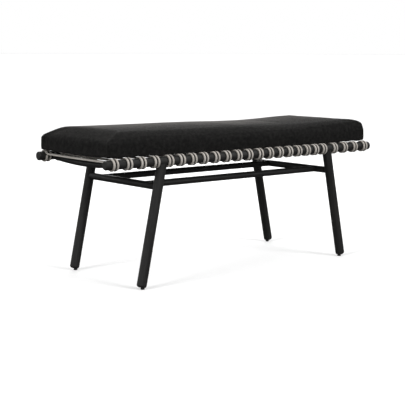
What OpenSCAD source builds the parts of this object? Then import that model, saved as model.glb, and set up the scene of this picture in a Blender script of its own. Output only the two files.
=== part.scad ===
// Entryway bench: a round-bar frame laced with pairs of cord, and a loose cushion on top.
// Millimetres. X runs along the bench, -Y is its front, +Z is up.
// The origin is on the floor, below the middle of the seat.

/* [Seat rails] */
// Length of each seat rail
rail_len = 1204; // [1000:10:1500]
// Distance between the axes of the two seat rails
rail_spacing = 396; // [320:2:480]
// Height of the seat rails' axes above the floor
rail_h = 409; // [360:1:500]
// Diameter of a seat rail
rail_d = 30; // [24:1:38]
// Radius on the end edges of a seat rail
rail_end_r = 4; // [1:0.5:8]

/* [End rails] */
// Diameter of an end rail
end_rail_d = 22; // [16:1:26]
// How far the middle of an end rail dips below its ends
end_rail_dip = 10; // [4:1:20]
// Drop of an end rail's ends below the seat rails' axes
end_rail_drop = 2; // [0:0.5:4]

/* [Legs] */
// Diameter of a leg
leg_d = 33; // [26:1:38]
// Distance from a rail's end to the point where the leg's axis crosses the rail's axis
leg_setback = 224; // [190:1:270]
// How far the foot stands outside the leg's top, along the bench
foot_splay = 87; // [40:1:110]
// Radius on the bottom edge of a leg
leg_foot_r = 8; // [2:0.5:10]
// Distance of the leg's top rim below the rail's axis
leg_top_drop = 6; // [2:0.5:10]

/* [Stretchers] */
// Height of the stretchers' axes above the floor
stretcher_h = 328.5; // [200:0.5:350]
// Diameter of a cross stretcher
cross_d = 24; // [20:1:28]
// Diameter of a long stretcher
long_d = 23; // [16:1:24]
// Distance of a long stretcher's axis inside the seat rail above it
long_inset = 74; // [50:1:120]

/* [Joinery] */
// Diameter of a leg's tenon
leg_tenon_d = 16; // [12:1:18]
// How far a leg's tenon reaches past the seat rail's axis
leg_tenon_past = 6; // [0:1:8]
// Diameter of a stretcher's tenon
tenon_d = 12; // [8:1:14]
// Depth of a stretcher's tenon in its socket
tenon_depth = 10; // [6:1:11]
// Diameter of an end rail's tenon
end_tenon_d = 12; // [8:1:14]
// Depth of an end rail's tenon in the seat rail
end_tenon_depth = 12; // [6:1:12]
// Gap all round a tenon or a stem in its socket
socket_gap = 0.1; // [0.05:0.05:0.3]
// Gap past the end of a tenon in its socket
socket_end_gap = 1; // [0.5:0.5:2]
// Thickness of the glue line between a shoulder and what it meets
glue_gap = 0.05; // [0.02:0.01:0.2]

/* [Feet] */
// Diameter of a foot glide
glide_d = 13; // [11:1:16]
// Height of a foot glide's head
glide_h = 7; // [5:0.5:9]
// Radius on the edges of a foot glide's head
glide_edge_r = 1.5; // [0.5:0.5:2]
// Diameter of a foot glide's stem
glide_stem_d = 6; // [4:1:8]
// Length of a foot glide's stem above its head
glide_stem_len = 18; // [10:1:24]
// Distance of a foot glide's middle from its leg's axis, towards the middle of the bench
glide_inset = 5; // [0:0.5:6]
// Gap round a foot glide's head in the leg
glide_gap = 0.3; // [0.2:0.1:0.6]

/* [Seat cords] */
// Width of one cord
cord_w = 8.6; // [7.2:0.2:9.2]
// Thickness of one cord
cord_t = 5.6; // [4:0.2:7]
// Distance between the middles of the two cords of a pair
cord_pitch = 13.2; // [10:0.2:16]
// Number of cord pairs between the legs
inner_pairs = 16; // [8:1:18]
// Number of cord pairs beyond the legs, at each end
outer_pairs = 4; // [3:1:4]
// Most that a cord pair between the legs lies to the right of even spacing
lacing_drift = 17; // [0:1:20]
// Distance from a rail's end to the middle of the last cord pair
last_pair_inset = 32; // [24:1:44]
// Height of the cords across the seat above the rails' axes
cord_rise = 6; // [4:0.5:8]
// Gap between a cord and the rail it goes round
cord_seat_gap = 0.1; // [0.05:0.05:0.3]
// Gap between a leg and the cord pair next to it
cord_leg_gap = 0.6; // [0.4:0.1:3]

/* [Cushion] */
// Distance from a rail's end to the cushion's end
cushion_end_inset = 24; // [10:1:60]
// How far the cushion reaches past a seat rail's axis
cushion_overhang = 7; // [0:1:16]
// Thickness of the cushion
cushion_t = 82; // [50:1:110]
// Radius of the cushion's corners seen from above
cushion_corner_r = 22; // [14:1:40]
// Radius of the cushion's top and bottom edges
cushion_edge_r = 12; // [6:1:13]
// Thickness of the cover's fabric
cover_t = 1.5; // [1:0.5:3]
// Thickness of the wadding round the foam
wadding_t = 8; // [4:1:12]
// Gap between the layers of the cushion, and under it
layer_gap = 0.3; // [0.2:0.1:0.5]

/* [Hidden] */
$fn = 96;
side = [-1, 1];

rail_r = rail_d / 2;
leg_r = leg_d / 2;
rail_y = rail_spacing / 2;
rail_end_x = rail_len / 2;

// A leg's axis crosses the rail's axis at leg_top_x and reaches the floor at foot_x.
leg_top_x = rail_end_x - leg_setback;
foot_x = leg_top_x + foot_splay;
leg_lean = atan(foot_splay / rail_h);
leg_side = leg_r / cos(leg_lean);
function leg_x(z) = leg_top_x + (rail_h - z) * tan(leg_lean);

// The leg's end plane stands so high that its rounded edge clears the floor.
leg_end_h = glide_h;
glide_x = leg_x(glide_h) - glide_inset;

cross_x = leg_x(stretcher_h);
long_y = rail_y - long_inset;

end_rail_h = rail_h - end_rail_drop;
end_rail_half = rail_y - rail_r;
end_rail_bend_r = (pow(end_rail_half, 2) + pow(end_rail_dip, 2)) / (2 * end_rail_dip);

// A cord's ring goes round the rail at this radius, measured to the middle of its thickness.
ring_r = rail_r + cord_seat_gap + cord_t / 2;
strand_end = sqrt(pow(ring_r, 2) - pow(cord_rise, 2));
strand_ease = 0.1;
pair_half = cord_pitch / 2 + cord_w / 2;

// The leg passes between two cord pairs, which keep their gap to it at the rings' height.
leg_at_rings_x = leg_x(rail_h - ring_r);
inner_x = leg_at_rings_x - leg_side - pair_half - cord_leg_gap;
outer_x = leg_at_rings_x + leg_side + pair_half + cord_leg_gap;
last_x = rail_end_x - last_pair_inset;
outer_step = (last_x - outer_x) / (outer_pairs - 1);
inner_step = 2 * inner_x / (inner_pairs - 1);
function drift(i) = lacing_drift * sin(180 * pow(i / (inner_pairs - 1), 1.6));
pair_x = concat(
    [for (i = [0 : outer_pairs - 1]) -last_x + i * outer_step],
    [for (i = [0 : inner_pairs - 1]) -inner_x + i * inner_step + drift(i)],
    [for (i = [0 : outer_pairs - 1]) outer_x + i * outer_step]);

// The end rails lie midway between the last two cord pairs.
end_rail_x = last_x - outer_step / 2;

// The cushion rests on top of the cord rings.
cushion_z = rail_h + ring_r + cord_t / 2 + layer_gap;
cushion_x = rail_end_x - cushion_end_inset;
cushion_y = rail_y + cushion_overhang;
wadding_inset = cover_t + layer_gap;
// No inner layer's edge gets sharper than this radius.
min_round = 2;

BLACK = [0.09, 0.09, 0.09];
CREAM = [0.78, 0.75, 0.70];
CHARCOAL = [0.12, 0.12, 0.12];
FOAM = [0.90, 0.86, 0.70];

FRAME_NODES = [
    "front_seat_rail", "back_seat_rail", "left_end_rail", "right_end_rail",
    "front_left_leg", "front_right_leg", "back_left_leg", "back_right_leg",
    "left_cross_stretcher", "right_cross_stretcher",
    "front_long_stretcher", "back_long_stretcher",
    "front_left_glide", "front_right_glide", "back_left_glide", "back_right_glide"];
CUSHION_NODES = ["cushion_cover", "cushion_wadding", "cushion_foam"];
function cord_node(i) = str("seat_cord_pair_", i < 9 ? "0" : "", i + 1);
CORD_NODES = [for (i = [0 : len(pair_x) - 1]) cord_node(i)];

// --- Shared shapes -------------------------------------------------------------------------

// A round bar along Z, centred on the origin, with rounded end edges.
module round_bar(d, length, edge_r) {
    edge = min(edge_r, d / 4);
    rotate_extrude()
        union() {
            translate([0, -length / 2])
                square([d / 2 - edge, length]);
            translate([0, edge - length / 2])
                square([d / 2, length - 2 * edge]);
            for (s = side)
                translate([d / 2 - edge, s * (length / 2 - edge)])
                    circle(r = edge);
        }
}

// A cylinder along X from x = a to x = b.
module bar_x(d, a, b) {
    translate([min(a, b), 0, 0])
        rotate([0, 90, 0])
            cylinder(d = d, h = abs(b - a));
}

// A cylinder along Y from y = a to y = b.
module bar_y(d, a, b) {
    translate([0, min(a, b), 0])
        rotate([-90, 0, 0])
            cylinder(d = d, h = abs(b - a));
}

// Puts its children where a leg's axis crosses the rail's axis, with Z up along the leg.
module on_leg(sx, sy) {
    translate([sx * leg_top_x, sy * rail_y, rail_h])
        rotate([0, -sx * leg_lean, 0])
            children();
}

// The cross-section of one cord, w wide and t thick, with round edges.
module cord_section(w, t) {
    square([w - t, t], center = true);
    for (s = side)
        translate([s * (w - t) / 2, 0])
            circle(d = t);
}

// --- Seat rails and end rails --------------------------------------------------------------

// sy is -1 for the front rail and 1 for the back one.
module seat_rail(sy) {
    leg_socket_d = leg_tenon_d + 2 * socket_gap;
    leg_socket_top = leg_tenon_past + socket_end_gap;
    end_socket_y = rail_y - rail_r + end_tenon_depth + socket_end_gap;
    color(BLACK)
        difference() {
            translate([0, sy * rail_y, rail_h])
                rotate([0, 90, 0])
                    round_bar(rail_d, rail_len, rail_end_r);
            for (sx = side)
                on_leg(sx, sy)
                    translate([0, 0, -rail_d])
                        cylinder(d = leg_socket_d, h = rail_d + leg_socket_top);
            for (sx = side)
                translate([sx * end_rail_x, 0, end_rail_h])
                    bar_y(end_tenon_d + 2 * socket_gap, sy * end_socket_y, sy * (rail_y - rail_d));
        }
}

// sx is -1 for the left end rail and 1 for the right one.
module end_rail(sx) {
    reach = asin(rail_y / end_rail_bend_r);
    tenon_start = end_rail_half - end_tenon_d / 2;
    color(BLACK)
        translate([sx * end_rail_x, 0, 0])
            union() {
                difference() {
                    translate([0, 0, end_rail_h - end_rail_dip + end_rail_bend_r])
                        rotate([90, 0, 90])
                            rotate([0, 0, -90 - reach])
                                rotate_extrude(angle = 2 * reach)
                                    translate([end_rail_bend_r, 0])
                                        circle(d = end_rail_d);
                    for (sy = side)
                        translate([0, sy * rail_y, rail_h])
                            bar_x(rail_d + 2 * glue_gap, -end_rail_d, end_rail_d);
                }
                for (sy = side)
                    translate([0, 0, end_rail_h])
                        bar_y(end_tenon_d, sy * tenon_start, sy * (end_rail_half + end_tenon_depth));
            }
}

// --- Legs and their glides -----------------------------------------------------------------

// The leg as a full round bar from its foot end up past the rail, before it is cut to fit.
module leg_blank(sx, sy) {
    down = (rail_h - leg_end_h) / cos(leg_lean);
    length = down + leg_d + leg_foot_r;
    on_leg(sx, sy)
        translate([0, 0, length / 2 - down])
            round_bar(leg_d, length, leg_foot_r);
}

module leg(sx, sy) {
    rim_h = rail_h - leg_top_drop;
    tenon_start = rail_r + leg_tenon_d / 2;
    cross_socket_y = rail_y - leg_r + tenon_depth + socket_end_gap;
    color(BLACK)
        union() {
            difference() {
                leg_blank(sx, sy);
                translate([sx * leg_top_x, sy * rail_y, rim_h + rail_d])
                    cube([4 * leg_d, 2 * leg_d, 2 * rail_d], center = true);
                translate([sx * leg_top_x, sy * rail_y, rail_h])
                    bar_x(rail_d + 2 * glue_gap, -2 * leg_d, 2 * leg_d);
                translate([sx * cross_x, 0, stretcher_h])
                    bar_y(tenon_d + 2 * socket_gap, sy * cross_socket_y, sy * (rail_y - leg_d));
                translate([sx * glide_x, sy * rail_y, -glue_gap])
                    cylinder(d = glide_d + 2 * glide_gap, h = glide_h + 2 * glue_gap);
                translate([sx * glide_x, sy * rail_y, 0])
                    cylinder(d = glide_stem_d + 2 * socket_gap,
                        h = glide_h + glide_stem_len + socket_end_gap);
            }
            on_leg(sx, sy)
                translate([0, 0, -tenon_start])
                    cylinder(d = leg_tenon_d, h = tenon_start + leg_tenon_past);
        }
}

module glide(sx, sy) {
    color(BLACK)
        translate([sx * glide_x, sy * rail_y, 0])
            union() {
                translate([0, 0, glide_h / 2])
                    round_bar(glide_d, glide_h, glide_edge_r);
                translate([0, 0, glide_h / 2])
                    cylinder(d = glide_stem_d, h = glide_h / 2 + glide_stem_len);
            }
}

// --- Stretchers ----------------------------------------------------------------------------

module cross_stretcher(sx) {
    tenon_start = rail_y - leg_r - tenon_d;
    long_socket = cross_d / 2 - tenon_depth - socket_end_gap;
    color(BLACK)
        union() {
            difference() {
                translate([sx * cross_x, 0, stretcher_h])
                    bar_y(cross_d, -rail_y, rail_y);
                for (sy = side)
                    on_leg(sx, sy)
                        cylinder(d = leg_d + 2 * glue_gap, h = 2 * rail_h, center = true);
                for (sy = side)
                    translate([sx * cross_x, sy * long_y, stretcher_h])
                        bar_x(tenon_d + 2 * socket_gap, -sx * cross_d, -sx * long_socket);
            }
            for (sy = side)
                translate([sx * cross_x, 0, stretcher_h])
                    bar_y(tenon_d, sy * tenon_start, sy * (rail_y - leg_r + tenon_depth));
        }
}

module long_stretcher(sy) {
    shoulder_x = cross_x - cross_d / 2;
    translate([0, sy * long_y, stretcher_h])
        color(BLACK)
            union() {
                difference() {
                    bar_x(long_d, -cross_x, cross_x);
                    for (sx = side)
                        translate([sx * cross_x, 0, 0])
                            bar_y(cross_d + 2 * glue_gap, -long_d, long_d);
                }
                for (sx = side)
                    bar_x(tenon_d, sx * (shoulder_x - tenon_d), sx * (shoulder_x + tenon_depth));
            }
}

// --- Seat cords ----------------------------------------------------------------------------

// One cord: a ring round each rail, and the strand that crosses the seat between them.
module seat_cord(x) {
    strand_len = 2 * (rail_y - strand_end);
    translate([x, 0, rail_h])
        union() {
            for (sy = side)
                translate([0, sy * rail_y, 0])
                    rotate([0, 90, 0])
                        rotate_extrude()
                            translate([ring_r, 0])
                                rotate(90)
                                    cord_section(cord_w, cord_t);
            translate([0, 0, cord_rise])
                rotate([90, 0, 0])
                    linear_extrude(height = strand_len, center = true)
                        cord_section(cord_w - 2 * strand_ease, cord_t - 2 * strand_ease);
        }
}

module seat_cord_pair(i) {
    color(CREAM)
        for (s = side)
            seat_cord(pair_x[i] + s * cord_pitch / 2);
}

// --- Cushion -------------------------------------------------------------------------------

// The cushion's outline, shrunk by inset on every side.
module cushion_form(inset) {
    edge = max(cushion_edge_r - inset, min_round);
    corner = max(cushion_corner_r - inset, edge + min_round);
    hull()
        for (sx = side)
            for (sy = side)
                for (z = [cushion_z + inset + edge, cushion_z + cushion_t - inset - edge])
                    translate([sx * (cushion_x - inset - corner), sy * (cushion_y - inset - corner), z])
                        rotate_extrude($fn = 32)
                            intersection() {
                                translate([corner - edge, 0])
                                    circle(r = edge, $fn = 32);
                                translate([0, -edge])
                                    square([corner, 2 * edge]);
                            }
}

module cushion_layer(outer, inner) {
    difference() {
        cushion_form(outer);
        cushion_form(inner);
    }
}

module cushion_cover() {
    color(CHARCOAL)
        cushion_layer(0, cover_t);
}

module cushion_wadding() {
    color("white")
        cushion_layer(wadding_inset, wadding_inset + wadding_t);
}

module cushion_foam() {
    color(FOAM)
        cushion_form(wadding_inset + wadding_t + layer_gap);
}

// --- The bench -----------------------------------------------------------------------------

seat_rail(-1);  // front_seat_rail
seat_rail(1);  // back_seat_rail
end_rail(-1);  // left_end_rail
end_rail(1);  // right_end_rail
leg(-1, -1);  // front_left_leg
leg(1, -1);  // front_right_leg
leg(-1, 1);  // back_left_leg
leg(1, 1);  // back_right_leg
cross_stretcher(-1);  // left_cross_stretcher
cross_stretcher(1);  // right_cross_stretcher
long_stretcher(-1);  // front_long_stretcher
long_stretcher(1);  // back_long_stretcher
glide(-1, -1);  // front_left_glide
glide(1, -1);  // front_right_glide
glide(-1, 1);  // back_left_glide
glide(1, 1);  // back_right_glide
for (i = [0 : len(pair_x) - 1])
    seat_cord_pair(i);
cushion_cover();
cushion_wadding();
cushion_foam();
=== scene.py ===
import math

import bmesh
import bpy
import numpy as np
from mathutils import Matrix, Vector


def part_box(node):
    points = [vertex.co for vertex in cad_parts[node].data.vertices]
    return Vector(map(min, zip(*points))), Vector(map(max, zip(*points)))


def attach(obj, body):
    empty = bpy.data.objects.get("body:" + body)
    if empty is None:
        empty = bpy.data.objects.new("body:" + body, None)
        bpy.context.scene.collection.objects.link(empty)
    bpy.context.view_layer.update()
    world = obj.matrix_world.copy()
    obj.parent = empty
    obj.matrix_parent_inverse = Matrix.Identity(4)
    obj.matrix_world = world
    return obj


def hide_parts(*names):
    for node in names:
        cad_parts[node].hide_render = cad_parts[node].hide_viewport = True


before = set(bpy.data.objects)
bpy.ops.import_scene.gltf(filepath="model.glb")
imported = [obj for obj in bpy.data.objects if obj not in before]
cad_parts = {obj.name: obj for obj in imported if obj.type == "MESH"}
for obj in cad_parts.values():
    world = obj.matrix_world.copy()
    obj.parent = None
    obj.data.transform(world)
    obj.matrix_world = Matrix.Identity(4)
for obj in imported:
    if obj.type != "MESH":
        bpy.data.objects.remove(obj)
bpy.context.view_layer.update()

MM = 0.001
SEED = 7
collection = bpy.context.scene.collection
rng = np.random.default_rng(SEED)


# ---------------------------------------------------------------- camera

CAMERA_PLACE = (-2.428, -2.882, 0.754)  # metres, in the frame's axes
CAMERA_YAW = 39.573  # from +Y towards +X, degrees
CAMERA_PITCH = 8.06  # below the horizon, degrees
CAMERA_ROLL = 0.2  # degrees
CAMERA_LENS = 93.8  # mm, on a 36 mm sensor
CAMERA_SENSOR = 36
VIEW_END = 900  # far enough for the floor to reach the horizon


def make_camera():
    data = bpy.data.cameras.new("camera")
    data.lens = CAMERA_LENS
    data.sensor_width = CAMERA_SENSOR
    data.clip_end = VIEW_END
    data.dof.use_dof = False
    camera = bpy.data.objects.new("camera", data)
    collection.objects.link(camera)
    turn = Matrix.Rotation(math.radians(-CAMERA_YAW), 4, "Z")
    tip = Matrix.Rotation(math.radians(90 - CAMERA_PITCH), 4, "X")
    roll = Matrix.Rotation(math.radians(CAMERA_ROLL), 4, "Z")
    camera.matrix_world = Matrix.Translation(CAMERA_PLACE) @ turn @ tip @ roll
    bpy.context.scene.camera = camera


make_camera()


# ---------------------------------------------------------------- sizes from the frame

def middle(node):
    low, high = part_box(node)
    return (low + high) / 2


rail_low, rail_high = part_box("front_seat_rail")
RAIL_R = (rail_high.z - rail_low.z) / 2
RAIL_Z = (rail_high.z + rail_low.z) / 2
RAIL_Y = abs(middle("front_seat_rail").y)

cushion_low, cushion_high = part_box("cushion_cover")
CORD_NODES = sorted(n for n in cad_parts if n.startswith("seat_cord_pair_"))


# ---------------------------------------------------------------- mesh helpers

def add_object(name, mesh, material=None):
    thing = bpy.data.objects.new(name, mesh)
    collection.objects.link(thing)
    if material:
        mesh.materials.append(material)
    return thing


def mesh_from(name, points, faces):
    mesh = bpy.data.meshes.new(name)
    mesh.from_pydata([tuple(p) for p in points], [], faces)
    mesh.validate()
    for polygon in mesh.polygons:
        polygon.use_smooth = True
    mesh.update()
    return mesh


def coords_of(mesh):
    co = np.empty(len(mesh.vertices) * 3)
    mesh.vertices.foreach_get("co", co)
    return co.reshape(-1, 3)


def set_coords(mesh, co):
    mesh.vertices.foreach_set("co", co.ravel())
    mesh.update()


def smoothstep(low, high, value):
    t = np.clip((value - low) / (high - low), 0, 1)
    return t * t * (3 - 2 * t)


# ---------------------------------------------------------------- material helpers

class Nodes:
    """Builds one material's node tree with few words."""

    def __init__(self, name):
        self.material = bpy.data.materials.new(name)
        self.material.use_nodes = True
        self.tree = self.material.node_tree
        self.tree.nodes.clear()
        self.shader = self.add("ShaderNodeBsdfPrincipled")
        out = self.add("ShaderNodeOutputMaterial")
        self.join(self.shader.outputs["BSDF"], out.inputs["Surface"])

    def add(self, kind, **settings):
        made = self.tree.nodes.new(kind)
        for key, value in settings.items():
            setattr(made, key, value)
        return made

    def join(self, source, target):
        self.tree.links.new(source, target)

    def put(self, target, value):
        if isinstance(value, bpy.types.NodeSocket):
            self.join(value, target)
        else:
            target.default_value = value

    def math(self, operation, a, b=0.0):
        made = self.add("ShaderNodeMath", operation=operation)
        self.put(made.inputs[0], a)
        self.put(made.inputs[1], b)
        return made.outputs[0]

    def vector(self, operation, a, b=(0, 0, 0)):
        made = self.add("ShaderNodeVectorMath", operation=operation)
        self.put(made.inputs[0], a)
        self.put(made.inputs[1], b)
        return made.outputs[0]

    def place(self):
        return self.add("ShaderNodeTexCoord").outputs["Object"]

    def noise(self, place, scale, detail=3.0, roughness=0.5):
        made = self.add("ShaderNodeTexNoise")
        self.put(made.inputs["Vector"], place)
        made.inputs["Scale"].default_value = scale
        made.inputs["Detail"].default_value = detail
        made.inputs["Roughness"].default_value = roughness
        return made.outputs["Fac"]

    def ramp(self, value, low, high, to_low=0.0, to_high=1.0):
        made = self.add("ShaderNodeMapRange", interpolation_type="SMOOTHSTEP")
        self.put(made.inputs["Value"], value)
        made.inputs["From Min"].default_value = low
        made.inputs["From Max"].default_value = high
        made.inputs["To Min"].default_value = to_low
        made.inputs["To Max"].default_value = to_high
        return made.outputs["Result"]

    def blend(self, amount, a, b):
        made = self.add("ShaderNodeMix", data_type="RGBA")
        self.put(made.inputs["Factor"], amount)
        colours = [i for i in made.inputs if i.type == "RGBA"]
        self.put(colours[0], a)
        self.put(colours[1], b)
        return next(o for o in made.outputs if o.type == "RGBA")

    def bump(self, height, distance, strength=1.0, under=None):
        made = self.add("ShaderNodeBump")
        self.put(made.inputs["Height"], height)
        made.inputs["Distance"].default_value = distance
        made.inputs["Strength"].default_value = strength
        if under is not None:
            self.put(made.inputs["Normal"], under)
        return made.outputs["Normal"]

    def split(self, vector):
        made = self.add("ShaderNodeSeparateXYZ")
        self.put(made.inputs[0], vector)
        return made.outputs["X"], made.outputs["Y"], made.outputs["Z"]

    def set(self, **inputs):
        for name, value in inputs.items():
            self.put(self.shader.inputs[name.replace("_", " ").title()], value)


def grey(value, warm=0.0):
    return (value * (1 + warm), value, value * (1 - warm), 1)


# ---------------------------------------------------------------- materials

def stained_wood(name, turn_y=0.0, turn_z=0.0):
    """Black-stained wood whose grain runs along X, turned about Y and then Z."""
    n = Nodes(name)
    turned = n.add("ShaderNodeVectorRotate", rotation_type="EULER_XYZ", invert=True)
    n.put(turned.inputs["Vector"], n.place())
    turned.inputs["Rotation"].default_value = (0, math.radians(turn_y), math.radians(turn_z))
    along = turned.outputs["Vector"]
    stretched = n.vector("MULTIPLY", along, (0.05, 1, 1))
    fibre = n.noise(stretched, 900, 5, 0.65)
    pores = n.ramp(n.noise(n.vector("MULTIPLY", along, (0.03, 1, 1)), 1500, 2, 0.6), 0.56, 0.68)
    figure = n.noise(stretched, 110, 3, 0.5)
    blotch = n.noise(along, 14, 3, 0.5)
    tone = n.math("ADD", n.math("MULTIPLY", figure, 0.6), n.math("MULTIPLY", fibre, 0.4))
    base = n.blend(n.ramp(tone, 0.34, 0.66), grey(0.011, 0.02), grey(0.024, 0.03))
    base = n.blend(n.math("MULTIPLY", pores, 0.7), base, grey(0.005))
    gloss = n.math("ADD", n.ramp(blotch, 0.3, 0.7, 0.4, 0.52), n.math("MULTIPLY", pores, 0.2))
    grain = n.math("SUBTRACT", n.math("MULTIPLY", fibre, 0.5), pores)
    ripple = n.bump(blotch, 0.5 * MM, 0.25)
    n.set(base_color=base, roughness=gloss, normal=n.bump(grain, 0.12 * MM, 0.7, ripple))
    n.shader.inputs["Specular IOR Level"].default_value = 0.3
    return n.material


def moulded_nylon():
    n = Nodes("glide_nylon")
    fine = n.noise(n.place(), 2600, 2, 0.6)
    wear = n.noise(n.place(), 260, 3, 0.6)
    n.set(base_color=n.blend(n.ramp(wear, 0.5, 0.75), grey(0.012), grey(0.03)),
          roughness=n.ramp(wear, 0.3, 0.7, 0.5, 0.68),
          normal=n.bump(fine, 0.05 * MM, 0.6))
    return n.material


BRAID_PITCH = 6.4 * MM  # length along the cord in which a yarn goes once over and under
BRAID_YARNS = 4  # crossings round the cord
ON_RAIL = (0.165, 0.185)  # distance from the middle of the seat over which strand turns to ring


def braided_cord():
    """Cream braid. The mesh's cord_uv holds the way round the cord and the way along it."""
    n = Nodes("cord_braid")
    uv = n.add("ShaderNodeUVMap", uv_map="cord_uv").outputs["UV"]
    around, along, _ = n.split(uv)
    a = n.math("MULTIPLY", around, BRAID_YARNS * 2 * math.pi)
    b = n.math("MULTIPLY", along, 2 * math.pi)
    left = n.math("SINE", n.math("ADD", a, b))
    right = n.math("SINE", n.math("SUBTRACT", a, b))
    cross = n.math("MULTIPLY", left, right)
    over = n.ramp(cross, -0.15, 0.15)
    fibres_l = n.math("SINE", n.math("MULTIPLY", n.math("ADD", a, b), 6.0))
    fibres_r = n.math("SINE", n.math("MULTIPLY", n.math("SUBTRACT", a, b), 6.0))
    fibres = n.math("ADD", n.math("MULTIPLY", fibres_l, over),
                    n.math("MULTIPLY", fibres_r, n.math("SUBTRACT", 1.0, over)))
    fuzz = n.noise(n.place(), 2400, 3, 0.65)
    soil = n.noise(n.place(), 24, 3, 0.6)
    # Painted shade: where the braid dips between its yarns, the cream is darkened towards brown.
    dip = n.ramp(n.math("ABSOLUTE", cross), 0.0, 0.4)
    lit = n.blend(n.ramp(soil, 0.3, 0.7), (0.60, 0.555, 0.50, 1), (0.70, 0.66, 0.61, 1))
    lit = n.blend(n.math("MULTIPLY", n.ramp(fuzz, 0.35, 0.65), 0.25), lit, (0.76, 0.73, 0.69, 1))
    base = n.blend(n.math("MULTIPLY", n.math("SUBTRACT", 1.0, dip), 0.5), lit, (0.33, 0.29, 0.25, 1))
    # Round the rails, painted shade darkens each cord's flank that faces its twin, between the two cords
    # of a pair, and more lightly its outer flank.
    flank = n.math("COSINE", n.math("MULTIPLY", around, 2 * math.pi))
    on_rail = n.ramp(n.math("ABSOLUTE", n.split(n.place())[1]), *ON_RAIL, 0.15, 1.0)
    for side, most in ((flank, 0.85), (n.math("MULTIPLY", flank, -1.0), 0.35)):
        painted_flank_shade = n.math("MULTIPLY", n.ramp(side, 0.4, 1.0, 0.0, most), on_rail)
        base = n.blend(painted_flank_shade, base, (0.09, 0.08, 0.07, 1))
    height = n.math("ADD", n.math("ABSOLUTE", cross), n.math("MULTIPLY", fibres, 0.16))
    coarse = n.bump(height, 0.45 * MM, 0.8)
    n.set(base_color=base, roughness=0.85, normal=n.bump(fuzz, 0.12 * MM, 0.7, coarse))
    n.shader.inputs["Sheen Weight"].default_value = 0.25
    n.shader.inputs["Sheen Roughness"].default_value = 0.5
    n.shader.inputs["Specular IOR Level"].default_value = 0.2
    return n.material


WEAVE_PITCH = 1.7 * MM  # distance between the threads of the cushion's fabric
THREAD_WANDER = 0.9 * MM


def woven_fabric():
    """Black upholstery weave, laid flat on whichever side of the cushion the surface faces."""
    n = Nodes("cushion_weave")
    place = n.place()
    # The threads wander a little, as in a woven cloth.
    wander = n.add("ShaderNodeTexNoise")
    n.put(wander.inputs["Vector"], place)
    wander.inputs["Scale"].default_value = 90
    wander.inputs["Detail"].default_value = 2
    shifted = n.vector("ADD", place, n.vector("MULTIPLY", wander.outputs["Color"], (THREAD_WANDER,) * 3))
    x, y, z = n.split(n.vector("MULTIPLY", shifted, (math.pi / WEAVE_PITCH,) * 3))
    sx, sy, sz = (n.math("SINE", axis) for axis in (x, y, z))
    facing = n.split(n.vector("ABSOLUTE", n.add("ShaderNodeNewGeometry").outputs["True Normal"]))
    top = n.math("MULTIPLY", n.math("MULTIPLY", sx, sy), n.ramp(facing[2], 0.45, 0.75))
    front = n.math("MULTIPLY", n.math("MULTIPLY", sx, sz), n.ramp(facing[1], 0.45, 0.75))
    end = n.math("MULTIPLY", n.math("MULTIPLY", sy, sz), n.ramp(facing[0], 0.45, 0.75))
    weave = n.math("ADD", n.math("ADD", top, front), end)
    slub = n.noise(n.vector("MULTIPLY", place, (0.25, 1, 1)), 420, 3, 0.6)
    fuzz = n.noise(place, 3200, 2, 0.7)
    cloud = n.noise(place, 9, 4, 0.6)
    mottle = n.noise(place, 85, 3, 0.6)
    lint = n.ramp(n.noise(place, 700, 2, 0.5), 0.66, 0.74)
    base = n.blend(n.ramp(weave, -0.9, 0.9), grey(0.007, 0.01), grey(0.017, 0.02))
    base = n.blend(n.math("MULTIPLY", n.ramp(slub, 0.45, 0.7), 0.5), base, grey(0.022, 0.03))
    base = n.blend(n.math("MULTIPLY", n.ramp(cloud, 0.3, 0.75), 0.4), base, grey(0.012, 0.03))
    base = n.blend(n.ramp(mottle, 0.4, 0.75, 0.0, 0.7), base, grey(0.024, 0.03))
    base = n.blend(n.ramp(mottle, 0.25, 0.5, 0.5, 0.0), base, grey(0.006))
    base = n.blend(n.math("MULTIPLY", lint, 0.2), base, grey(0.05, 0.05))
    # Painted sheen: a pale colour is mixed into the base where the cloth is seen edge on, where its
    # raised fibres catch the light.
    painted_sheen = n.add("ShaderNodeLayerWeight").outputs["Facing"]
    painted_sheen = n.math("MULTIPLY", n.ramp(painted_sheen, 0.905, 0.975), n.ramp(mottle, 0.3, 0.7, 0.75, 1.0))
    base = n.blend(painted_sheen, base, (0.145, 0.137, 0.131, 1))
    height = n.math("ADD", n.math("ABSOLUTE", weave), n.math("MULTIPLY", slub, 0.7))
    coarse = n.bump(height, 0.5 * MM, 0.8)
    n.set(base_color=base, roughness=0.93, normal=n.bump(fuzz, 0.18 * MM, 0.6, coarse))
    n.shader.inputs["Sheen Weight"].default_value = 0.05
    n.shader.inputs["Sheen Roughness"].default_value = 0.3
    n.shader.inputs["Sheen Tint"].default_value = (0.92, 0.88, 0.84, 1)
    n.shader.inputs["Specular IOR Level"].default_value = 0.05
    return n.material


# ---------------------------------------------------------------- the wooden frame

LEG_LEAN = math.degrees(math.atan2(
    middle("front_right_glide").x - middle("front_right_leg").x,
    middle("front_right_leg").z))


def finish_frame():
    along_x = stained_wood("stained_wood_x")
    along_y = stained_wood("stained_wood_y", turn_z=90)
    leg_right = stained_wood("stained_wood_leg_right", turn_y=90 - LEG_LEAN)
    leg_left = stained_wood("stained_wood_leg_left", turn_y=90 + LEG_LEAN)
    nylon = moulded_nylon()
    for name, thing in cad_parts.items():
        if name.endswith("_glide"):
            wear = nylon
        elif name.endswith("right_leg"):
            wear = leg_right
        elif name.endswith("left_leg"):
            wear = leg_left
        elif name.endswith(("cross_stretcher", "end_rail")):
            wear = along_y
        elif name.endswith(("seat_rail", "long_stretcher")):
            wear = along_x
        else:
            continue
        thing.data.materials.clear()
        thing.data.materials.append(wear)


finish_frame()


# ---------------------------------------------------------------- seat cords

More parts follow.
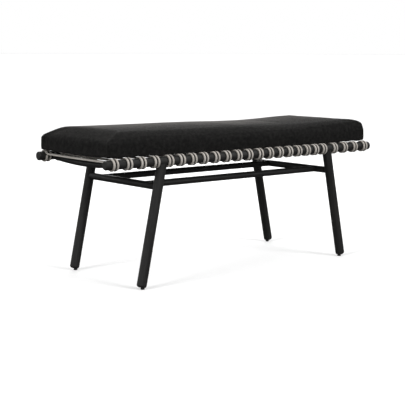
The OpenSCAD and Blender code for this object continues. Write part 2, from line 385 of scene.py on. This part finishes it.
CORD_WIDTH = 8.6 * MM
CORD_ROUND = 14  # points round a cord
CORD_SQUARE = 0.82  # below 1, the section bulges towards a rectangle
CORD_GAP = 0.15 * MM  # between the cord and the rail
CORD_SAG = 0.9 * MM  # the most by which a strand hangs
CORD_RISE = 6 * MM  # height of the strands above the rails' axes
cord_low, cord_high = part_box(CORD_NODES[0])
CORD_PITCH = cord_high.x - cord_low.x - CORD_WIDTH
RING_OUT = cord_high.z - RAIL_Z
CORD_THICK = RING_OUT - RAIL_R - CORD_GAP
RING_R = RING_OUT - CORD_THICK / 2
LEAVE = math.radians(45)  # where a strand leaves its ring, above the rail's inner side
TUCK = math.radians(12)  # where the cord's end is tucked in below the strand
STRAND_EASE = 44 * MM  # distance from the rail's axis at which the strand lies level
RELIEF = 0.28 * MM  # depth of the braid
WANDER = 0.35 * MM  # how far a strand strays sideways


def bezier(p0, p1, p2, p3, count):
    t = np.linspace(0, 1, count)[:, None]
    return ((1 - t) ** 3 * p0 + 3 * (1 - t) ** 2 * t * p1 + 3 * (1 - t) * t ** 2 * p2 + t ** 3 * p3)


def half_route(sag):
    """One rail's share of a cord, from its tucked end round the rail to the middle of the seat.

    In (distance from the rail's axis towards the middle, height above the axis)."""
    turn = np.linspace(TUCK, LEAVE - 2 * math.pi, 66)
    ring = RING_R * np.stack([np.cos(turn), np.sin(turn)], 1)
    start = ring[-1]
    away = np.array([1.0, -1.0]) / math.sqrt(2)
    level = np.array([STRAND_EASE, CORD_RISE])
    ease = bezier(start, start + away * 9 * MM, level - [15 * MM, 0], level, 15)[1:]
    run = np.linspace(STRAND_EASE, RAIL_Y, 80)[1:]
    drop = sag * np.sin((run - STRAND_EASE) / (RAIL_Y - STRAND_EASE) * math.pi / 2) ** 2
    strand = np.stack([run, CORD_RISE - drop], 1)
    return np.concatenate([ring, ease, strand])


def cord_route(sag):
    """The whole cord, from the front rail to the back one, as (y, z)."""
    half = half_route(sag)
    front = np.stack([half[:, 0] - RAIL_Y, half[:, 1]], 1)
    back = np.stack([RAIL_Y - half[:, 0], half[:, 1]], 1)[::-1]
    return np.concatenate([front, back[1:]]) + [0, RAIL_Z]


def cord_mesh(x, side, shift, sag):
    """Points, faces and uvs of one cord at x. Its u is 0 along the flank that faces its twin."""
    path = cord_route(sag)
    step = np.linalg.norm(np.diff(path, axis=0), axis=1)
    length = np.concatenate([[0], np.cumsum(step)])
    tangent = np.gradient(path, axis=0)
    tangent /= np.linalg.norm(tangent, axis=1)[:, None]
    out = np.stack([-tangent[:, 1], tangent[:, 0]], 1)
    turn = np.linspace(0, 2 * math.pi, CORD_ROUND, endpoint=False)
    across = np.sign(np.cos(turn)) * np.abs(np.cos(turn)) ** CORD_SQUARE * CORD_WIDTH / 2
    thick = np.sign(np.sin(turn)) * np.abs(np.sin(turn)) ** CORD_SQUARE * CORD_THICK / 2
    phase_b = (length / BRAID_PITCH * 2 * math.pi + shift)[:, None]
    phase_a = (turn * BRAID_YARNS)[None, :]
    height = np.abs(np.sin(phase_a + phase_b) * np.sin(phase_a - phase_b))
    swell = 1 + (height - 1) * RELIEF / (CORD_THICK / 2)
    # The ends close to a rounded tip.
    tip = np.clip(np.minimum(length, length[-1] - length) / (CORD_THICK / 2), 0, 1)
    swell = swell * np.sqrt(1 - (1 - tip) ** 2)[:, None].clip(0.12)
    wander = WANDER * np.sin(length / (0.11 + 0.02 * math.sin(shift)) + shift)
    free = smoothstep(0.02, 0.08, RAIL_Y - np.abs(path[:, 0]))
    wide = x + (wander * free)[:, None] + across[None, :] * swell
    y = path[:, :1] + out[:, :1] * thick[None, :] * swell
    z = path[:, 1:] + out[:, 1:] * thick[None, :] * swell
    points = np.stack([wide, y, z], 2).reshape(-1, 3)
    count = len(path)
    faces, uvs = [], []
    for i in range(count - 1):
        for j in range(CORD_ROUND):
            k = (j + 1) % CORD_ROUND
            faces.append((i * CORD_ROUND + j, (i + 1) * CORD_ROUND + j,
                          (i + 1) * CORD_ROUND + k, i * CORD_ROUND + k))
            u0, u1 = (0.25 * (1 + side) - side * q / CORD_ROUND for q in (j, j + 1))
            v0 = length[i] / BRAID_PITCH + shift / (2 * math.pi)
            v1 = length[i + 1] / BRAID_PITCH + shift / (2 * math.pi)
            uvs += [(u0, v0), (u0, v1), (u1, v1), (u1, v0)]
    for ring, flip in ((0, False), (count - 1, True)):
        cap = [ring * CORD_ROUND + j for j in range(CORD_ROUND)]
        faces.append(tuple(cap if not flip else cap[::-1]))
        uvs += [(0.5, 0.5)] * CORD_ROUND
    return points, faces, uvs


def make_cords():
    material = braided_cord()
    for node in CORD_NODES:
        x = middle(node).x
        points, faces, uvs = [], [], []
        for side in (-1, 1):
            shift = rng.uniform(0, 2 * math.pi)
            sag = rng.uniform(0.0, CORD_SAG / MM) * MM
            p, f, u = cord_mesh(x + side * CORD_PITCH / 2, side, shift, sag)
            base = sum(len(q) for q in points)
            points.append(p)
            faces += [tuple(base + v for v in face) for face in f]
            uvs += u
        mesh = mesh_from(node.replace("seat_cord_pair", "braided_cords"), np.concatenate(points), faces)
        layer = mesh.uv_layers.new(name="cord_uv")
        layer.data.foreach_set("uv", np.array(uvs, float).ravel())
        cords = add_object(mesh.name, mesh, material)
        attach(cords, "bench_frame")
        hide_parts(node)


make_cords()


# ---------------------------------------------------------------- cushion

CUSHION_MID = (cushion_low + cushion_high) / 2
CUSHION_HALF = (cushion_high - cushion_low) / 2
BASE = cushion_low.z  # the cushion's underside, on the cord rings
SIDE_HIGH = 50 * MM  # from the underside to the seam round the top panel
VOXEL = 6 * MM
SWELL_CAP = 5 * MM  # how far the simulation may move a point
CORNER_R = 5 * MM
EDGE_R = 7 * MM  # at the top, and six tenths of it at the bottom
# How high the middle of the top stands above the top seam, at even steps from left to right.
FILL = [27, 26, 25, 24.5, 24.5, 23.5, 21, 20, 22, 25, 27]
ARCH = 5 * MM  # share of that which falls away in one even curve from the middle to the sides
SIDE_PULL = 6 * MM  # how far the long sides lie in at their middles
END_PULL = 5 * MM  # and the short ends
CORNER_HOLD = 90 * MM  # distance from a corner within which the seams hold the swelling back
BELLY = 2 * MM  # how far the underside hangs between the rails
DROOP = 2 * MM  # how far its edge hangs between two pairs of rings
DROOP_FROM = 11 * MM  # distance from the middle of a pair at which that starts
DROOP_FULL = 21 * MM
LEFT_STRETCH = 12 * MM  # how far the left-hand end is drawn out
SETTLE_LOW, SETTLE_HIGH = 6 * MM, 26 * MM  # heights between which the hanging dies out
UNDER_GAP = 0.2 * MM  # between the underside and the rings
INSET = 0.5 * MM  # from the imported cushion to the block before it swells
SIM_FRAMES = 20
# For each end: how far in from the end and from the side the crown is full, and how steeply.
LEFT_CROWN = ((84 * MM, 2.2), (55 * MM, 2.6))
RIGHT_CROWN = ((26 * MM, 3.2), (28 * MM, 3.2))


def rounded_block(name, half, middle_at, corner, edge):
    """A closed block with rounded upright corners and rounded rims."""
    mesh = bpy.data.meshes.new(name)
    bm = bmesh.new()
    bmesh.ops.create_cube(bm, size=2)
    bmesh.ops.scale(bm, vec=half, verts=bm.verts)
    bmesh.ops.translate(bm, vec=middle_at, verts=bm.verts)
    upright = [e for e in bm.edges if abs(e.verts[0].co.z - e.verts[1].co.z) > half.z]
    bmesh.ops.bevel(bm, geom=upright, offset=corner, segments=6, profile=0.5, affect="EDGES")
    for sign, size in ((1, edge), (-1, 0.6 * edge)):
        level = middle_at.z + sign * half.z
        painted_sheen = [e for e in bm.edges if all(abs(v.co.z - level) < 1e-6 for v in e.verts)]
        bmesh.ops.bevel(bm, geom=painted_sheen, offset=size, segments=4, profile=0.5, affect="EDGES")
    bm.to_mesh(mesh)
    bm.free()
    return mesh


def apply_modifiers(thing):
    depsgraph = bpy.context.evaluated_depsgraph_get()
    baked = bpy.data.meshes.new_from_object(thing.evaluated_get(depsgraph))
    thing.modifiers.clear()
    old = thing.data
    thing.data = baked
    bpy.data.meshes.remove(old)


def remesh(thing, voxel):
    modifier = thing.modifiers.new("remesh", "REMESH")
    modifier.mode = "VOXEL"
    modifier.voxel_size = voxel
    modifier.use_smooth_shade = True
    apply_modifiers(thing)


def rise(distance, width, power):
    """0 on a seam, and 1 from width inwards, steep at first."""
    return 1 - (1 - np.clip(distance / width, 0, 1)) ** power


def both(a, b):
    """The lower of two rises, rounded off where they meet."""
    return 1 - np.minimum(1, ((1 - a) ** 3 + (1 - b) ** 3) ** (1 / 3))


def crown(x, y):
    """Height of the top panel above its seam."""
    fill = np.interp(x, np.linspace(-CUSHION_HALF.x, CUSHION_HALF.x, len(FILL)), FILL) * MM
    from_end = CUSHION_HALF.x - np.abs(x)
    from_side = CUSHION_HALF.y - np.abs(y)
    left, right = (both(rise(from_end, *at_end), rise(from_side, *at_side))
                   for at_end, at_side in (LEFT_CROWN, RIGHT_CROWN))
    # The right-hand end is flatter across than the rest.
    flat = 1 - 0.6 * smoothstep(250 * MM, 520 * MM, x)
    arch = ARCH * flat * (1 - np.clip(y / CUSHION_HALF.y, -1, 1) ** 2)
    edge = left + (right - left) * smoothstep(100 * MM, 520 * MM, x)
    return (fill - ARCH * flat + arch) * edge


def shape_cushion(co):
    """Gives the plain block its crowned top and pulls its sides in between the corners."""
    x, y, z = co[:, 0].copy(), co[:, 1].copy(), co[:, 2].copy()
    u, v = x / CUSHION_HALF.x, y / CUSHION_HALF.y
    t = np.clip((z - BASE) / SIDE_HIGH, 0, 1)
    co[:, 2] += smoothstep(0.75, 1.0, t) * crown(x, y)
    # The pull fades half-way up the sides, which bulge there.
    waist = 1 - 0.7 * np.clip(1 - (2 * t - 1) ** 2, 0, 1)
    co[:, 1] -= v * np.abs(v) ** 7 * SIDE_PULL * (1 - u ** 4) * waist
    co[:, 0] -= u * np.abs(u) ** 19 * END_PULL * (1 - v ** 2) * waist
    return co


def inflate(thing, rest):
    """Blows the cover up with a short cloth simulation and keeps a capped share of the movement."""
    pins = thing.vertex_groups.new(name="pins")
    low = np.nonzero(rest[:, 2] < BASE + 2 * MM)[0]
    pins.add([int(i) for i in low], 1.0, "REPLACE")
    cloth = thing.modifiers.new("cloth", "CLOTH")
    settings = cloth.settings
    settings.quality = 4
    settings.mass = 0.25
    settings.tension_stiffness = 10
    settings.compression_stiffness = 10
    settings.shear_stiffness = 5
    settings.bending_stiffness = 0.4
    settings.use_pressure = True
    settings.uniform_pressure_force = 4
    settings.vertex_group_mass = "pins"
    settings.effector_weights.gravity = 0
    cloth.point_cache.frame_start = 1
    cloth.point_cache.frame_end = SIM_FRAMES
    scene = bpy.context.scene
    for step in range(1, SIM_FRAMES + 1):
        scene.frame_set(step)
    apply_modifiers(thing)
    scene.frame_set(1)
    moved = coords_of(thing.data) - rest
    # The four corners, where the seams meet, hold their shape.
    to_corner = np.hypot(CUSHION_HALF.x - np.abs(rest[:, 0]), CUSHION_HALF.y - np.abs(rest[:, 1]))
    moved *= (0.1 + 0.9 * smoothstep(0, CORNER_HOLD, to_corner))[:, None]
    far = np.linalg.norm(moved, axis=1)
    print("cushion swelled: mean %.1f mm, most %.1f mm" % (far.mean() / MM, far.max() / MM))
    share = SWELL_CAP * np.tanh(far / SWELL_CAP) / np.maximum(far, 1e-9)
    set_coords(thing.data, rest + moved * share[:, None])


def settle(co):
    """Rests the underside on the rings and lets it hang a little between the rails."""
    x, y = co[:, 0], np.abs(co[:, 1])
    inner = RAIL_Y - RING_OUT * 0.8
    belly = BELLY * (1 - smoothstep(0.55 * inner, inner, y))
    # Between two pairs of rings the edge droops on to the bare rail.
    nearest = np.abs(x[:, None] - np.array([middle(n).x for n in CORD_NODES])).min(axis=1)
    droop = DROOP * smoothstep(DROOP_FROM, DROOP_FULL, nearest) * smoothstep(inner, RAIL_Y, y)
    hang = belly + droop
    low = 1 - smoothstep(SETTLE_LOW, SETTLE_HIGH, co[:, 2] - BASE)
    co[:, 2] = np.maximum(co[:, 2] - hang * low, BASE + UNDER_GAP - hang)
    co[:, 0] = np.where(x < 0, x * (1 + LEFT_STRETCH / CUSHION_HALF.x), x)
    return co


def make_cushion():
    half = Vector((CUSHION_HALF.x - INSET, CUSHION_HALF.y - INSET, SIDE_HIGH / 2))
    centre = Vector((CUSHION_MID.x, CUSHION_MID.y, BASE + SIDE_HIGH / 2))
    mesh = rounded_block("cushion_fabric", half, centre, CORNER_R, EDGE_R)
    cushion = add_object("cushion_fabric", mesh)
    remesh(cushion, VOXEL)
    rest = shape_cushion(coords_of(cushion.data))
    set_coords(cushion.data, rest)
    inflate(cushion, rest.copy())
    set_coords(cushion.data, settle(coords_of(cushion.data)))
    smooth = cushion.modifiers.new("smooth", "SUBSURF")
    smooth.levels = 1
    smooth.render_levels = 1
    apply_modifiers(cushion)
    for polygon in cushion.data.polygons:
        polygon.use_smooth = True
    cushion.data.materials.clear()
    cushion.data.materials.append(woven_fabric())
    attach(cushion, "cushion")
    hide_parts("cushion_cover", "cushion_wadding", "cushion_foam")


make_cushion()


# ---------------------------------------------------------------- floor and lights

FLOOR_HALF = 400  # metres, so that its edge lies on the horizon
FLOOR_GLOW = 0.1
SKY_ABOVE = 1.0
SKY_BELOW = 0.1
LOW_LIGHT_RISE = math.radians(20)  # above the horizon
LOW_LIGHT_ANGLE = math.radians(24)  # how wide it is, which softens the shadows
LOW_LIGHT_STRENGTH = 3.3
LOW_LIGHTS = {"left_low_light": -97, "front_low_light": 163}  # bearing from +Y towards +X, degrees


def floor_material():
    n = Nodes("floor_pale")
    tint = n.noise(n.place(), 3, 2, 0.5)
    n.set(base_color=n.blend(tint, grey(0.61), grey(0.6)), roughness=0.9)
    n.shader.inputs["Emission Color"].default_value = (1, 1, 1, 1)
    n.shader.inputs["Emission Strength"].default_value = FLOOR_GLOW
    return n.material


def make_floor():
    points = [(x * FLOOR_HALF, y * FLOOR_HALF, 0) for x, y in ((-1, -1), (1, -1), (1, 1), (-1, 1))]
    mesh = mesh_from("floor", points, [(0, 1, 2, 3)])
    floor = add_object("floor", mesh, floor_material())
    # The floor throws no light up at the bench, as in a studio shot on a lit sweep.
    floor.visible_diffuse = False
    floor.visible_glossy = False
    return floor


def add_light(name, kind, strength):
    data = bpy.data.lights.new(name, kind)
    data.energy = strength
    light = bpy.data.objects.new(name, data)
    collection.objects.link(light)
    return light


def area_light(name, place, aim, size, power):
    light = add_light(name, "AREA", power)
    light.data.shape = "RECTANGLE"
    light.data.size, light.data.size_y = size
    way = Vector(aim) - Vector(place)
    turn = way.to_track_quat("-Z", "Y").to_matrix().to_4x4()
    light.matrix_world = Matrix.Translation(place) @ turn
    light.visible_camera = False


def low_light(name, bearing, floor):
    """A light that only draws the legs' shadows on the floor."""
    light = add_light(name, "SUN", LOW_LIGHT_STRENGTH)
    light.data.angle = LOW_LIGHT_ANGLE
    way = Vector((math.sin(bearing), math.cos(bearing), math.tan(LOW_LIGHT_RISE)))
    light.matrix_world = way.to_track_quat("Z", "Y").to_matrix().to_4x4()
    lit = bpy.data.collections.new(name + "_lit")
    lit.objects.link(floor)
    light.light_linking.receiver_collection = lit
    shading = bpy.data.collections.new(name + "_shading")
    for node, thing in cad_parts.items():
        if node.endswith(("_leg", "_glide")):
            shading.objects.link(thing)
    light.light_linking.blocker_collection = shading


def studio_sky():
    """White from the horizon up, and dim below it."""
    world = bpy.data.worlds.new("studio")
    world.use_nodes = True
    tree = world.node_tree
    background = tree.nodes["Background"]
    way = tree.nodes.new("ShaderNodeTexCoord")
    split = tree.nodes.new("ShaderNodeSeparateXYZ")
    fade = tree.nodes.new("ShaderNodeMapRange")
    tree.links.new(way.outputs["Generated"], split.inputs[0])
    tree.links.new(split.outputs["Z"], fade.inputs["Value"])
    fade.inputs["From Min"].default_value = -0.02
    fade.inputs["From Max"].default_value = 0.0
    fade.inputs["To Min"].default_value = SKY_BELOW
    fade.inputs["To Max"].default_value = SKY_ABOVE
    tree.links.new(fade.outputs["Result"], background.inputs["Strength"])
    background.inputs["Color"].default_value = (1, 1, 1, 1)
    bpy.context.scene.world = world


def light_scene():
    studio_sky()
    area_light("back_softbox", (2.4, 2.9, 1.2), (0, 0, 0.45), (2.4, 1.2), 40)
    area_light("front_softbox", (-1.6, -3.4, 2.4), (0, 0, 0.4), (2.4, 1.8), 30)
    scene = bpy.context.scene
    scene.view_settings.view_transform = "Standard"
    scene.view_settings.look = "None"


light_scene()
floor = make_floor()
for low_name, low_bearing in LOW_LIGHTS.items():
    low_light(low_name, math.radians(low_bearing), floor)
